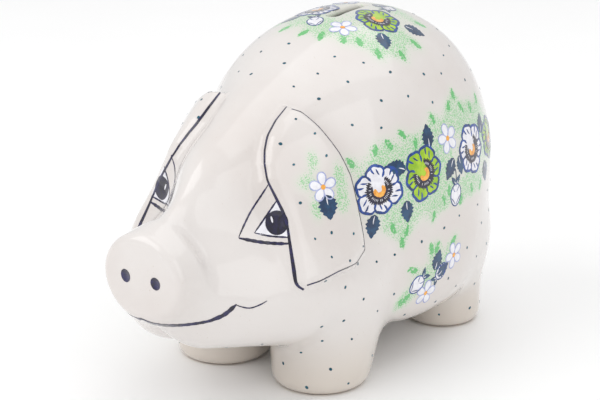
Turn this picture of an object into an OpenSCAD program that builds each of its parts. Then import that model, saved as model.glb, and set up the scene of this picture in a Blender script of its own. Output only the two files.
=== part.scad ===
// Ceramic piggy bank: a slip-cast hollow pig with a coin slot in its back and a rubber
// stopper in its belly.
// Millimetres. The pig faces -Y, its left side is +X, +Z is up.
// The origin is the middle of the footprint, on the ground.
// The clay skin is one smooth distance field, meshed per piece on a regular grid, so
// neighbouring pieces share the same outline on the plane where they meet.

/* [Barrel] */
// half width of the barrel
barrel_half_width = 70; // [60:0.5:80]
// reach of the barrel towards the neck from its widest section
barrel_front = 91; // [80:0.5:100]
// reach of the barrel towards the tail from its widest section
barrel_rear = 83.5; // [75:0.5:95]
// height of the back above the widest level
barrel_top = 92; // [80:0.5:100]
// depth of the belly below the widest level
barrel_bottom = 72; // [65:0.5:76]
// distance of the widest section behind the origin
barrel_y = 43; // [35:0.5:55]
// height of the widest level above the ground
barrel_z = 89; // [82:0.5:96]
// squareness of the back
back_power = 2.2; // [2:0.1:3]
// squareness of the belly
belly_power = 5; // [2:0.1:7]
// squareness of both ends
end_power = 2.3; // [2:0.1:3]

/* [Head] */
// radius of the back of the skull
skull_r = 54; // [45:0.5:60]
// radius of the front of the skull
brow_r = 31; // [24:0.5:38]
// how much narrower than high the face is
face_squeeze = 1.42; // [1:0.01:1.6]
// radius of the jowl
jowl_r = 33.5; // [28:0.5:38]
// radius of the chin
chin_r = 25; // [18:0.5:30]
// radius of the root of the nose
nose_root_r = 28; // [22:0.5:32]
// radius of the tip of the nose
nose_tip_r = 21; // [16:0.5:23]

/* [Snout] */
// radius of the snout disc
snout_r = 23; // [18:0.5:26]
// thickness of the snout disc
snout_t = 11.5; // [8:0.5:16]
// radius of the rounded rim of the disc
snout_round = 4; // [2:0.5:5]
// height of the middle of the disc above the ground
snout_z = 79.5; // [74:0.5:86]
// half distance between the nostrils
nostril_x = 9.5; // [6:0.5:13]
// radius of a nostril dimple
nostril_r = 3; // [2:0.25:5]
// depth of a nostril dimple
nostril_depth = 1; // [0.5:0.25:3]

/* [Legs] */
// radius of a front foot
front_foot_r = 25; // [20:0.5:28]
// radius of a front leg where it meets the chest
front_leg_r = 32; // [26:0.5:36]
// half track of the front feet
front_track = 32; // [28:0.5:36]
// radius of a rear foot
rear_foot_r = 21; // [17:0.5:25]
// radius of a rear leg where it meets the belly
rear_leg_r = 25; // [20:0.5:30]
// half track of the rear feet
rear_track = 35; // [30:0.5:40]
// height of the plane that parts the legs from the trunk
leg_cut = 14; // [12:0.5:15]

/* [Ears] */
// thickness of an ear over the cheek
ear_t = 5; // [3:0.25:7]
// radius of the rounded ear edge
ear_round = 6; // [3:0.5:8]
// depth that an ear is set into the wall of the head
ear_seat = 2.5; // [1.5:0.25:4]

/* [Tail] */
// radius of the tail where it leaves the rump
tail_r = 3.5; // [3:0.25:6]
// radius of the curl
tail_curl_r = 8; // [6:0.25:12]
// how far the curl stands out of the rump
tail_proud = 3; // [2:0.25:4]
// how far round the curl goes
tail_turn = 300; // [180:5:330]
// height of the tail above the ground
tail_z = 104; // [90:0.5:120]

/* [Shell] */
// wall thickness of the clay
wall = 5; // [4:0.25:6]
// softness of the joint between head and barrel
neck_blend = 22; // [10:1:30]
// softness of the joint between legs and belly
leg_blend = 12; // [6:1:18]
// edge of one grid cell in the trunk and the head
cell = 7; // [6:1:9]

/* [Coin slot] */
// length of the slot
slot_l = 30; // [26:0.5:36]
// width of the slot
slot_w = 5; // [4:0.25:6]
// distance of the middle of the slot behind the origin
slot_y = 40.8; // [36:0.1:50]

/* [Stopper] */
// radius of the round hole in the belly
hole_r = 16; // [14:0.25:18]
// distance of the hole behind the origin
hole_y = 29.5; // [28:0.5:36]
// running clearance between the stopper and the hole
stopper_gap = 0.05; // [0.02:0.01:0.1]
// height of the plug above the flange
plug_l = 11; // [9:0.25:12]
// radius of the flange
flange_r = 20; // [18:0.25:22]
// thickness of the flange
flange_t = 2.4; // [2:0.1:3]
// wall of the hollow plug
plug_wall = 3; // [2:0.25:5]

/* [Hidden] */

$fn = 64;
clay_colour = [0.92, 0.90, 0.88];
glaze_shadow = [0.80, 0.77, 0.75];
rubber_colour = [0.16, 0.16, 0.17];

// planes on which the pieces meet
neck_y = -27;
snout_back_y = neck_y - 13 * cell;
snout_face_y = snout_back_y - snout_t;
trunk_low = [-10.5 * cell, neck_y, leg_cut];
trunk_cells = [21, 23, 24];
head_low = [-10.5 * cell, snout_back_y, leg_cut];
head_cells = [21, 13, 21];

// places of the round bodies that the skin blends together
barrel_c = [0, barrel_y, barrel_z];
skull_a = [0, -28.5, 98];
skull_b = [0, -91.5, 88];
chin_c = [11, -92.5, 61];
jowl_c = [28, -50.5, 62];
nose_a = [0, -91.5, snout_z - 0.5];
nose_b = [0, -108.5, snout_z - 0.5];
front_leg_a = [front_track + 1, -20.5, 50];
front_leg_b = [front_track, -26.5, 0];
rear_leg_a = [rear_track - 0.5, 81.5, 50];
rear_leg_b = [rear_track, 85.5, 0];
jowl_blend = 22;
nose_blend = 16;
foot_blend = 6;
sole_round = 4;
belly_z = barrel_z - barrel_bottom;
seat_gap = 0.15;

// ear frame: outward normal, rearward axis, upward axis, and its middle
ear_n = [0.860, -0.330, 0.390];
ear_u = [0.358, 0.934, 0];
ear_v = cross(ear_n, ear_u);
ear_c = [50, -51.5, 105];
ear_face_squeeze = 1.15;
// corners of the ear in its own frame, rear and up from its middle
ear_outline = [[-1.5, 52], [-11, 44], [-18.5, 36], [-22.5, 29], [-24, 19], [-22.5, 9],
               [-20, -1], [-19.5, -12], [-19.5, -24], [-18.5, -34], [-13.5, -36.5],
               [1, -34], [16.5, -31], [22.5, -26], [22.5, -15], [19.5, 4], [17, 19],
               [12, 33], [6, 45]];
// rings from the rim inwards: [share of the way to the middle, inset and drop in edge radii]
ear_top_rings = [[1, 0, 1], [1, 0.3, 0.29], [1, 1, 0], [0.66, 0.6, 0], [0.33, 0.3, 0]];
ear_seat_rings = [[0.33, 0, 0], [0.66, 0, 0], [1, 0, 0]];

// ---- distance field -------------------------------------------------------------

function soft_min(a, b, k) = min(a, b) - pow(max(k - abs(a - b), 0), 2) / (4 * k);
function soft_max(a, b, k) = -soft_min(-a, -b, k);

// distance to two balls of radius ra and rb joined by a straight taper
function taper(p, a, b, ra, rb) =
    let (ba = b - a, l2 = ba * ba, rr = ra - rb, a2 = l2 - rr * rr, pa = p - a)
    let (y = pa * ba, z = y - l2, d = pa * l2 - ba * y, x2 = d * d)
    let (y2 = y * y * l2, z2 = z * z * l2, k = sign(rr) * rr * rr * x2)
    sign(z) * a2 * z2 > k ? sqrt(x2 + z2) / l2 - rb
    : sign(y) * a2 * y2 < k ? sqrt(x2 + y2) / l2 - ra
    : (sqrt(x2 * a2 / l2) + y * rr) / l2 - ra;

// egg-shaped barrel with its own roundness above, below and at the ends
function barrel(p) =
    let (q = p - barrel_c)
    let (rz = q.z < 0 ? barrel_bottom : barrel_top, n = q.z < 0 ? belly_power : back_power)
    let (ry = q.y < 0 ? barrel_front : barrel_rear)
    let (s = pow(pow(abs(q.x) / barrel_half_width, n) + pow(abs(q.z) / rz, n), 1 / n))
    let (k = pow(pow(s, end_power) + pow(abs(q.y) / ry, end_power), 1 / end_power))
    norm(q) * (1 - 1 / max(k, 0.001));

function face(p, m, squeeze) =
    let (skull = taper([p.x * squeeze, p.y, p.z], skull_a, skull_b, skull_r, brow_r))
    let (jaw = taper(m, chin_c, jowl_c, chin_r, jowl_r))
    let (nose = taper(p, nose_a, nose_b, nose_root_r, nose_tip_r))
    soft_min(soft_min(skull / sqrt(squeeze), jaw, jowl_blend), nose, nose_blend);

function trunk(p, m, squeeze) = soft_min(barrel(p), face(p, m, squeeze), neck_blend);

// the whole cast skin without snout disc, ears and tail; negative inside
function clay(p) =
    let (m = [abs(p.x), p.y, p.z])
    let (front = taper(m, front_leg_a, front_leg_b, front_leg_r, front_foot_r))
    let (rear = taper(m, rear_leg_a, rear_leg_b, rear_leg_r, rear_foot_r))
    let (legs = soft_min(soft_min(trunk(p, m, face_squeeze), front, leg_blend), rear, leg_blend))
    soft_max(legs, -p.z, foot_blend);

// point half way along a smooth curve through the outline corners
function curve_middle(i, n) =
    (9 * (ear_outline[i] + ear_outline[(i + 1) % n])
     - ear_outline[(i + n - 1) % n] - ear_outline[(i + 2) % n]) / 16;

// height of the ear's top face or seat over a place q of the ear frame
function ear_gap(p, seat) = seat ? clay(p) + ear_seat : trunk(p, p, ear_face_squeeze) - ear_t;
function ear_height(q, seat, w = 5, steps = 16) =
    steps == 0 ? w
    : let (p = ear_c + q.x * ear_u + q.y * ear_v + w * ear_n)
      ear_height(q, seat, w - 0.85 * ear_gap(p, seat), steps - 1);
function ear_point(q, seat, drop) =
    ear_c + q.x * ear_u + q.y * ear_v + (ear_height(q, seat) - drop) * ear_n;

// ---- meshing --------------------------------------------------------------------

AXES = [[1, 0, 0], [0, 1, 0], [0, 0, 1]];
CORNERS = [for (z = [0, 1], y = [0, 1], x = [0, 1]) [x, y, z]];
EDGES = [for (a = [0:2], c = CORNERS) if (c[a] == 0) [c, c + AXES[a]]];
function corner_index(c) = c.x + 2 * c.y + 4 * c.z;

function centre(v, i = 0, s = [0, 0, 0]) = i >= len(v) ? s / len(v) : centre(v, i + 1, s + v[i]);

// mean crossing of the cell edges that lie on every plane in the list 'on'
function crossings(base, h, v, on) =
    [for (e = EDGES)
        let (a = v[corner_index(e[0])], b = v[corner_index(e[1])])
        let (off = [for (o = on) if (e[0][o[0]] != o[1] || e[1][o[0]] != o[1]) 1])
        if ((a < 0) != (b < 0) && len(off) == 0)
            base + h * (e[0] + (e[1] - e[0]) * a / (a - b))];

// gradient with the directions fixed by 'on' taken out
function slope(p, on) =
    let (d = 0.05, f = clay(p))
    [for (i = [0:2]) len([for (o = on) if (o[0] == i) 1]) > 0 ? 0
        : (clay(p + d * AXES[i]) - f) / d];

function settle(p, on, n) =
    n == 0 ? p
    : let (g = slope(p, on)) settle(p - g * clay(p) / max(g * g, 0.05), on, n - 1);

// open planes of a cell: [axis, side] where the skin leaves the meshed block
function open_sides(c, n, v) =
    [for (a = [0:2], s = [0, 1])
        let (vals = [for (q = CORNERS) if (q[a] == s) v[corner_index(q)]])
        if (c[a] == (s == 0 ? 0 : n[a] - 1) && min(vals) < 0 && max(vals) >= 0) [a, s]];

// keeps only as many planes as share a crossing edge
function usable(base, h, v, on) = len(on) > 1 && len(crossings(base, h, v, on)) == 0 ? [on[0]] : on;

// outer and inner point of the wall for a cell that the skin passes through
function cell_points(low, n, h, c, v) =
    let (base = low + h * c, on = usable(base, h, v, open_sides(c, n, v)))
    let (p = settle(centre(crossings(base, h, v, on)), on, 2))
    let (g = slope(p, on))
    [p, p - g * wall / max(g * g, 0.3)];

// points and faces of the wall between the skin and the same skin set inwards
function skin(low, n, h) =
    let (sx = n.x + 1, sy = (n.x + 1) * (n.y + 1), cy = n.x, cz = n.x * n.y)
    let (val = [for (k = [0:n.z], j = [0:n.y], i = [0:n.x]) clay(low + h * [i, j, k])])
    let (steps = [1, sx, sy], shift = [for (c = CORNERS) c * steps])
    let (held = [for (k = [0:n.z - 1], j = [0:n.y - 1], i = [0:n.x - 1])
        let (o = [i, j, k] * steps, v = [for (s = shift) val[o + s]])
        min(v) < 0 && max(v) >= 0])
    let (count = len(held))
    let (number = [for (i = 0, m = 0; i < count; m = m + (held[i] ? 1 : 0), i = i + 1)
        held[i] ? m : -1])
    let (pairs = [for (k = [0:n.z - 1], j = [0:n.y - 1], i = [0:n.x - 1])
        if (held[i + cy * j + cz * k])
            let (o = [i, j, k] * steps)
            cell_points(low, n, h, [i, j, k], [for (s = shift) val[o + s]])])
    let (total = len(pairs))
    let (rings = [for (a = [0:2], k = [0:n.z], j = [0:n.y], i = [0:n.x])
        let (g = [i, j, k], b = (a + 1) % 3, c = (a + 2) % 3)
        if (g[a] < n[a])
            let (o = g * steps, in = val[o] < 0)
            if (in != (val[o + steps[a]] < 0))
                let (around = [g - AXES[b] - AXES[c], g - AXES[c], g, g - AXES[b]])
                let (ids = [for (q = around)
                    q.x >= 0 && q.y >= 0 && q.z >= 0 && q.x < n.x && q.y < n.y && q.z < n.z
                    ? number[q.x + cy * q.y + cz * q.z] : -1])
                in ? ids : [ids[3], ids[2], ids[1], ids[0]]])
    let (full = [for (r = rings) if (min(r) >= 0) r])
    let (rims = [for (r = rings, e = [0:3])
        let (p = r[e], q = r[(e + 1) % 4], f = r[(e + 2) % 4], g = r[(e + 3) % 4])
        if (p >= 0 && q >= 0 && f < 0 && g < 0) [q, p, p + total, q + total]])
    [concat([for (p = pairs) p[0]], [for (p = pairs) p[1]]),
     concat([for (r = full) [r[3], r[2], r[1], r[0]]],
            [for (r = full) [for (i = r) i + total]],
            rims)];

module meshed(low, n) {
    m = skin(low, n, cell);
    polyhedron(points = m[0], faces = m[1], convexity = 6);
}

// ---- pieces ---------------------------------------------------------------------

module slot_cut() {
    translate([0, slot_y, barrel_z])
    linear_extrude(height = barrel_top + wall) {
        square([slot_w, slot_l - slot_w], center = true);
        translate([0, (slot_l - slot_w) / 2]) circle(d = slot_w);
        translate([0, -(slot_l - slot_w) / 2]) circle(d = slot_w);
    }
}

module torso_shell() {
    color(clay_colour)
    difference() {
        meshed(trunk_low, trunk_cells);
        slot_cut();
        translate([0, hole_y, belly_z - wall]) cylinder(r = hole_r, h = 3 * wall);
    }
}

module head_shell() {
    color(clay_colour) meshed(head_low, head_cells);
}

module snout_disc() {
    color(clay_colour)
    difference() {
        translate([0, snout_back_y, snout_z])
        rotate([90, 0, 0])
        rotate_extrude() {
            square([snout_r, snout_t - snout_round]);
            square([snout_r - snout_round, snout_t]);
            translate([snout_r - snout_round, snout_t - snout_round])
            intersection() {
                circle(r = snout_round);
                square(snout_round);
            }
        }
        for (s = [-1, 1])
            translate([s * nostril_x, snout_face_y + nostril_depth, snout_z])
            rotate([90, 0, 0])
            cylinder(r = nostril_r, h = 2 * nostril_depth);
    }
}

// a leg below the parting plane: a rounded cup with a flat sole
module leg(place, foot_r, leg_r) {
    rim_r = foot_r + (leg_r - foot_r) * leg_cut / front_leg_a.z;
    color(clay_colour)
    translate(place)
    rotate_extrude() {
        polygon([[0, 0], [foot_r - sole_round, 0], [foot_r, sole_round], [rim_r, leg_cut],
                 [rim_r - wall, leg_cut], [foot_r - wall, wall], [0, wall]]);
        translate([foot_r - sole_round, sole_round]) circle(r = sole_round);
    }
}

module front_left_leg() { leg(front_leg_b, front_foot_r, front_leg_r); }
module front_right_leg() { mirror([1, 0, 0]) front_left_leg(); }
module rear_left_leg() { leg(rear_leg_b, rear_foot_r, rear_leg_r); }
module rear_right_leg() { mirror([1, 0, 0]) rear_left_leg(); }

// a slab between the seat in the head's wall and a rounded top face
module left_ear() {
    n = len(ear_outline);
    rim = [for (i = [0:n - 1], t = [0, 0.5])
        t == 0 ? ear_outline[i] : curve_middle(i, n)];
    m = len(rim);
    seat = [for (r = ear_seat_rings, q = rim) ear_point(q * r[0], true, 0)];
    top = [for (r = ear_top_rings, q = rim)
        ear_point(q * (1 - r[1] * ear_round / norm(q)) * r[0], false, r[2] * ear_round)];
    points = concat(seat, top, [ear_point([0, 0], true, 0), ear_point([0, 0], false, 0)]);
    ring_count = len(ear_seat_rings) + len(ear_top_rings);
    seat_middle = ring_count * m;
    top_middle = seat_middle + 1;
    color(glaze_shadow)
    polyhedron(
        points = points,
        faces = concat(
            [for (r = [0:ring_count - 2], i = [0:m - 1])
                [r * m + i + m, r * m + (i + 1) % m + m, r * m + (i + 1) % m, r * m + i]],
            [for (i = [0:m - 1]) [seat_middle, i, (i + 1) % m]],
            [for (i = [0:m - 1])
                [top_middle, seat_middle - m + (i + 1) % m, seat_middle - m + i]]),
        convexity = 4);
}

module right_ear() { mirror([1, 0, 0]) left_ear(); }

module tail() {
    color(glaze_shadow)
    translate([0, barrel_y + barrel_rear + tail_proud - tail_r, tail_z])
    rotate([90, 60, 0])
    rotate_extrude(angle = tail_turn) translate([tail_curl_r, 0]) circle(r = tail_r);
}

module stopper() {
    plug_r = hole_r - stopper_gap;
    color(rubber_colour)
    translate([0, hole_y, belly_z - seat_gap - flange_t])
    rotate_extrude()
    difference() {
        union() {
            square([flange_r, flange_t]);
            square([plug_r, flange_t + plug_l]);
        }
        translate([0, flange_t]) square([plug_r - plug_wall, plug_l + 1]);
    }
}

torso_shell();
head_shell();
snout_disc();
front_left_leg();
front_right_leg();
rear_left_leg();
rear_right_leg();
left_ear();
right_ear();
tail();
stopper();
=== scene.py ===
import math

import bpy
import numpy as np
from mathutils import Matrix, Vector


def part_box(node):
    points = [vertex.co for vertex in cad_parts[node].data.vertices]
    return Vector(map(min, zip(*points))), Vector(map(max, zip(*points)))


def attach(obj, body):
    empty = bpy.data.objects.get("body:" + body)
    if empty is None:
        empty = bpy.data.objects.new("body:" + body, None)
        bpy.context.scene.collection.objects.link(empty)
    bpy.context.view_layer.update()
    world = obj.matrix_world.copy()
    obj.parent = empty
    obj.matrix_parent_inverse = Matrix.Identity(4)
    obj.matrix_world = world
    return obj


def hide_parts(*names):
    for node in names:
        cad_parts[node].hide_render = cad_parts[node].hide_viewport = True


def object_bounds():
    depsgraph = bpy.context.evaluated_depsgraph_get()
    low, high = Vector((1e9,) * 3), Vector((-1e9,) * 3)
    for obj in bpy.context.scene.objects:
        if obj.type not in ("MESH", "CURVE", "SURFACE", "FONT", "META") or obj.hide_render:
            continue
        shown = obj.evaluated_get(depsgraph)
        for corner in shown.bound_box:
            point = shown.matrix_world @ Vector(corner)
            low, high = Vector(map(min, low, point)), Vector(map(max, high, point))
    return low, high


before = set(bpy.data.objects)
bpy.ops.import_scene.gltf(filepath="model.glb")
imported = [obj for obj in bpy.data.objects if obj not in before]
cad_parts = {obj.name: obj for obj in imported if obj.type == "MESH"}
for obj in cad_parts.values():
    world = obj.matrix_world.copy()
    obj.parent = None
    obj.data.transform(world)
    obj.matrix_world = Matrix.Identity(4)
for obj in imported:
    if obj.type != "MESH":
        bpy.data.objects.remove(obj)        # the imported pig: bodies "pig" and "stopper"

# A slip-cast pig in cream stoneware, painted under a clear glaze, with a rubber stopper in its belly.
# All sizes below are millimetres in the part's own frame: -Y is the snout, +X the pig's left, +Z up.
MM = 0.001
CAD_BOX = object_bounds()


def node_box(node):
    """Lowest and highest corner of a CAD node, in millimetres."""
    low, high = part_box(node)
    return np.array(low) / MM, np.array(high) / MM


def vec(*numbers):
    return np.array(numbers, float)


# ---- sizes --------------------------------------------------------------------------------------

SNOUT_LOW, SNOUT_HIGH = node_box("snout_disc")
FRONT_LEG_LOW, FRONT_LEG_HIGH = node_box("front_left_leg")
REAR_LEG_LOW, REAR_LEG_HIGH = node_box("rear_left_leg")
STOPPER_LOW, STOPPER_HIGH = node_box("stopper")
TAIL_LOW, TAIL_HIGH = node_box("tail")

WALL = 5.0
BARREL_C = vec(0, 43, 89)
BARREL_HALF_WIDTH = 70.0
BARREL_FRONT, BARREL_REAR = 91.0, 83.5
BARREL_TOP, BARREL_BOTTOM = 92.0, 72.0
BACK_POWER, BELLY_POWER, END_POWER = 2.2, 5.0, 2.3

SNOUT_Z = (SNOUT_LOW[2] + SNOUT_HIGH[2]) / 2
SNOUT_FACE_Y = SNOUT_LOW[1] + 0.8
SNOUT_HALF_T = 8.5
SNOUT_C = vec(0, SNOUT_FACE_Y + SNOUT_HALF_T, SNOUT_Z)
SNOUT_RX, SNOUT_RZ, SNOUT_ROUND = 25.4, 22.0, 4.0
NOSTRIL_X, NOSTRIL_R, NOSTRIL_DEPTH = 9.5, 2.0, 0.7

# each taper joins two balls: first centre, second centre, first radius, second radius
SKULL = (vec(0, -28.5, 98), vec(0, -91.5, 88), 54.0, 31.0)
FACE_SQUEEZE = 1.42
JAW = (vec(11, -92.5, 61), vec(28, -50.5, 62), 25.0, 33.5)
NOSE = (vec(0, -91.5, SNOUT_Z - 0.5), vec(0, -108.5, SNOUT_Z - 0.5), 28.0, 21.0)
NOSE_END_Y = SNOUT_HIGH[1] + 2
FRONT_FOOT = vec((FRONT_LEG_LOW[0] + FRONT_LEG_HIGH[0]) / 2, (FRONT_LEG_LOW[1] + FRONT_LEG_HIGH[1]) / 2, 0)
REAR_FOOT = vec((REAR_LEG_LOW[0] + REAR_LEG_HIGH[0]) / 2, (REAR_LEG_LOW[1] + REAR_LEG_HIGH[1]) / 2, 0)
FRONT_LEG = (FRONT_FOOT + vec(1, 6, 50), FRONT_FOOT, 32.0, 25.0)
REAR_LEG = (REAR_FOOT + vec(-0.5, -4, 50), REAR_FOOT, 25.0, 21.0)
# hollows at both sides of the bridge of the nose, in front of the eyes
BRIDGE_C, BRIDGE_R, BRIDGE_DEPTH, BRIDGE_CREST_R = vec(16, -100, 103), 16.0, 9.0, 5.5
JOWL_BLEND, NOSE_BLEND, NECK_BLEND, LEG_BLEND, SNOUT_BLEND = 22.0, 16.0, 22.0, 12.0, 10.0
FOOT_ROUND = 6.0

# ear frame: outward normal, rearward axis, upward axis, middle, and outline (rear, up)
EAR_N = vec(0.860, -0.330, 0.390)
EAR_U = vec(0.358, 0.934, 0)
EAR_V = np.cross(EAR_N, EAR_U)
EAR_C = vec(50, -51.5, 105)
EAR_OUTLINE = [(0, 53.3), (-8.3, 47.4), (-15.2, 40.6), (-19.5, 33.5), (-21.9, 26.8), (-22.6, 18.6),
               (-19.6, 8.9), (-17.4, 1.1), (-17, -6.3), (-18, -13.5), (-19.4, -23.7), (-20, -34),
               (-16.8, -37.7), (-8.9, -37), (3, -34.6), (18.9, -32.4), (27.4, -25.9), (27, -17.9),
               (24.8, -1.8), (22.6, 13.2), (18.4, 25.4), (11, 40.7), (5.2, 49.9)]
EAR_LOW_CORNER = 12     # number of the outline corner at the front low tip
EAR_FACE_SQUEEZE, EAR_T, EAR_ROUND, EAR_BLEND = 1.15, 5.0, 6.0, 2.5
# the face runs up to the ear in a soft hollow round the eye
EYE_CORNER_C, EYE_CORNER_R, EYE_CORNER_BLEND = vec(36, -68, 104), 15.0, 15.0

SLOT_C = vec(0, 40.8, 181)
SLOT_LENGTH, SLOT_WIDTH, SLOT_ROUND = 30.0, 5.0, 3.0
HOLE_C = vec((STOPPER_LOW[0] + STOPPER_HIGH[0]) / 2, (STOPPER_LOW[1] + STOPPER_HIGH[1]) / 2, 0)
HOLE_R = 16.0

TAIL_C = (TAIL_LOW + TAIL_HIGH) / 2
TAIL_R = (TAIL_HIGH[1] - TAIL_LOW[1]) / 2
TAIL_CURL_R = 8.0

# ---- distance field, negative inside the clay ---------------------------------------------------


def soft_min(a, b, k):
    h = np.maximum(k - np.abs(a - b), 0)
    return np.minimum(a, b) - h * h / (4 * k)


def soft_max(a, b, k):
    return -soft_min(-a, -b, k)


def taper(p, a, b, ra, rb):
    """Distance to two balls joined by a straight taper."""
    ba = b - a
    l2 = ba @ ba
    rr = ra - rb
    a2 = l2 - rr * rr
    pa = p - a
    y = pa @ ba
    z = y - l2
    d = pa * l2 - y[:, None] * ba
    x2 = np.einsum("ij,ij->i", d, d)
    y2, z2 = y * y * l2, z * z * l2
    k = np.sign(rr) * rr * rr * x2
    side = (np.sqrt(x2 * a2 / l2) + y * rr) / l2 - ra
    end_b = np.sqrt(x2 + z2) / l2 - rb
    end_a = np.sqrt(x2 + y2) / l2 - ra
    return np.where(np.sign(z) * a2 * z2 > k, end_b, np.where(np.sign(y) * a2 * y2 < k, end_a, side))


def barrel(p):
    q = p - BARREL_C
    low = q[:, 2] < 0
    rz = np.where(low, BARREL_BOTTOM, BARREL_TOP)
    n = np.where(low, BELLY_POWER, BACK_POWER)
    ry = np.where(q[:, 1] < 0, BARREL_FRONT, BARREL_REAR)
    s = (np.abs(q[:, 0] / BARREL_HALF_WIDTH) ** n + np.abs(q[:, 2] / rz) ** n) ** (1 / n)
    k = (s ** END_POWER + np.abs(q[:, 1] / ry) ** END_POWER) ** (1 / END_POWER)
    return np.linalg.norm(q, axis=1) * (1 - 1 / np.maximum(k, 1e-6))


def mirrored(p):
    m = p.copy()
    m[:, 0] = np.abs(m[:, 0])
    return m


def trunk(p, m, squeeze):
    skull = taper(p * vec(squeeze, 1, 1), *SKULL) / math.sqrt(squeeze)
    nose = soft_max(taper(p, *NOSE), NOSE_END_Y - p[:, 1], 4)
    face = soft_min(soft_min(skull, taper(m, *JAW), JOWL_BLEND), nose, NOSE_BLEND)
    beside = np.stack([np.hypot(m[:, 0], BRIDGE_CREST_R), m[:, 1], m[:, 2]], -1) - BRIDGE_C
    face = face + BRIDGE_DEPTH * np.exp(-(beside ** 2).sum(1) / (2 * BRIDGE_R ** 2))
    return soft_min(barrel(p), face, NECK_BLEND)


def legged(p, m):
    d = soft_min(trunk(p, m, FACE_SQUEEZE), taper(m, *FRONT_LEG), LEG_BLEND)
    return soft_min(d, taper(m, *REAR_LEG), LEG_BLEND)


def clay(p):
    """The cast skin without snout disc, ears and tail."""
    return soft_max(legged(p, mirrored(p)), -p[:, 2], FOOT_ROUND)


def snout(p):
    q = p - SNOUT_C
    across = np.hypot(q[:, 0] * SNOUT_RZ / SNOUT_RX, q[:, 2]) - (SNOUT_RZ - SNOUT_ROUND)
    along = np.abs(q[:, 1]) - (SNOUT_HALF_T - SNOUT_ROUND)
    outside = np.hypot(np.maximum(across, 0), np.maximum(along, 0))
    return np.minimum(np.maximum(across, along), 0) + outside - SNOUT_ROUND


def outline_distance(u, v):
    """Signed distance to the ear outline in the ear's own plane."""
    nearest = np.full(u.shape, 1e9)
    sign = np.ones(u.shape)
    for (ax, ay), (bx, by) in zip(EAR_OUTLINE, EAR_OUTLINE[-1:] + EAR_OUTLINE[:-1]):
        ex, ey = bx - ax, by - ay
        wx, wy = u - ax, v - ay
        t = np.clip((wx * ex + wy * ey) / (ex * ex + ey * ey), 0, 1)
        nearest = np.minimum(nearest, (wx - ex * t) ** 2 + (wy - ey * t) ** 2)
        above, below, left = v >= ay, v < by, ex * wy > ey * wx
        sign = np.where((above & below & left) | ~(above | below | left), -sign, sign)
    return sign * np.sqrt(nearest)


def with_ears(d, m):
    """Joins the ears to the field d; only points near an ear are worked out."""
    near = (m[:, 0] > 5) & (m[:, 1] > -90) & (m[:, 1] < -5) & (m[:, 2] > 50) & (np.abs(d) < 20)
    q = m[near] - EAR_C
    ear = soft_max(outline_distance(q @ EAR_U, q @ EAR_V),
                   trunk(m[near], m[near], EAR_FACE_SQUEEZE) - EAR_T, EAR_ROUND)
    eye = np.exp(-((m[near] - EYE_CORNER_C) ** 2).sum(1) / (2 * EYE_CORNER_R ** 2))
    joined = d.copy()
    joined[near] = soft_min(d[near], ear, EAR_BLEND + EYE_CORNER_BLEND * eye)
    return joined


def tail_balls():
    """Centres and radii of the balls that the curled tail is strung from, root first."""
    balls = []
    for t in np.linspace(0, 1, 15):
        a = math.radians(100 - 480 * t)
        curl_r = TAIL_CURL_R - 4.5 * t
        centre = TAIL_C + vec(curl_r * math.cos(a), 1.2 * t - 0.2, curl_r * math.sin(a))
        balls.append((centre, TAIL_R * (1 - 0.35 * t)))
    return balls


TAIL_BALLS = tail_balls()


def with_tail(d, p):
    """Joins the curled tail to the field d; only points near the tail are worked out."""
    near = (p[:, 1] > TAIL_LOW[1] - 12) & (np.abs(p[:, 0]) < 24) & (np.abs(p[:, 2] - TAIL_C[2]) < 24)
    q = p[near]
    curl = np.full(len(q), 99.0)
    for (a, ra), (b, rb) in zip(TAIL_BALLS, TAIL_BALLS[1:]):
        curl = np.minimum(curl, taper(q, a, b, ra, rb + 1e-3))
    joined = d.copy()
    joined[near] = soft_min(d[near], curl, 2.5)
    return joined


def skin(p):
    """The whole outer surface."""
    m = mirrored(p)
    d = soft_min(legged(p, m), snout(p), SNOUT_BLEND)
    d = with_tail(with_ears(d, m), p)
    off = ((m[:, 0] - NOSTRIL_X) ** 2 + (p[:, 2] - SNOUT_Z) ** 2) / (2 * NOSTRIL_R ** 2)
    d = d + np.where(p[:, 1] < SNOUT_FACE_Y + 6, NOSTRIL_DEPTH * np.exp(-off), 0)
    return soft_max(d, -p[:, 2], FOOT_ROUND)


def shell(p):
    """The clay wall: skin, hollow inside, coin slot and stopper hole."""
    d = soft_max(skin(p), -(clay(p) + WALL), 1.0)
    along = np.maximum(np.abs(p[:, 1] - SLOT_C[1]) - (SLOT_LENGTH - SLOT_WIDTH) / 2, 0)
    slot = np.maximum(np.hypot(p[:, 0], along) - SLOT_WIDTH / 2, SLOT_C[2] - 40 - p[:, 2])
    d = soft_max(d, -slot, SLOT_ROUND)
    hole = np.maximum(np.hypot(p[:, 0] - HOLE_C[0], p[:, 1] - HOLE_C[1]) - HOLE_R, p[:, 2] - 50)
    return soft_max(d, -hole, 0.8)


def field_at(field, points, chunk=200000):
    parts = [field(points[i:i + chunk]) for i in range(0, len(points), chunk)]
    return np.concatenate(parts) if parts else np.zeros(0)


def gradient(field, points, h=0.25):
    steps = [field_at(field, points + h * e) - field_at(field, points - h * e) for e in np.eye(3)]
    return np.stack(steps, -1) / (2 * h)


def unit(v):
    return v / np.linalg.norm(v, axis=-1, keepdims=True)


def settle(field, points, rounds=3):
    """Moves points onto the zero level of the field and returns them with their unit normals."""
    p = points.copy()
    for _ in range(rounds):
        g = gradient(field, p)
        step = field_at(field, p) / np.maximum((g * g).sum(-1), 0.2)
        p -= g * np.clip(step, -3, 3)[:, None]
    return p, unit(gradient(field, p))


# ---- meshing ------------------------------------------------------------------------------------

CELL = 1.4
CORNERS = [(i, j, k) for i in (0, 1) for j in (0, 1) for k in (0, 1)]
EDGES = [(a, b) for a in CORNERS for b in CORNERS if a < b and sum(abs(x - y) for x, y in zip(a, b)) == 1]


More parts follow.
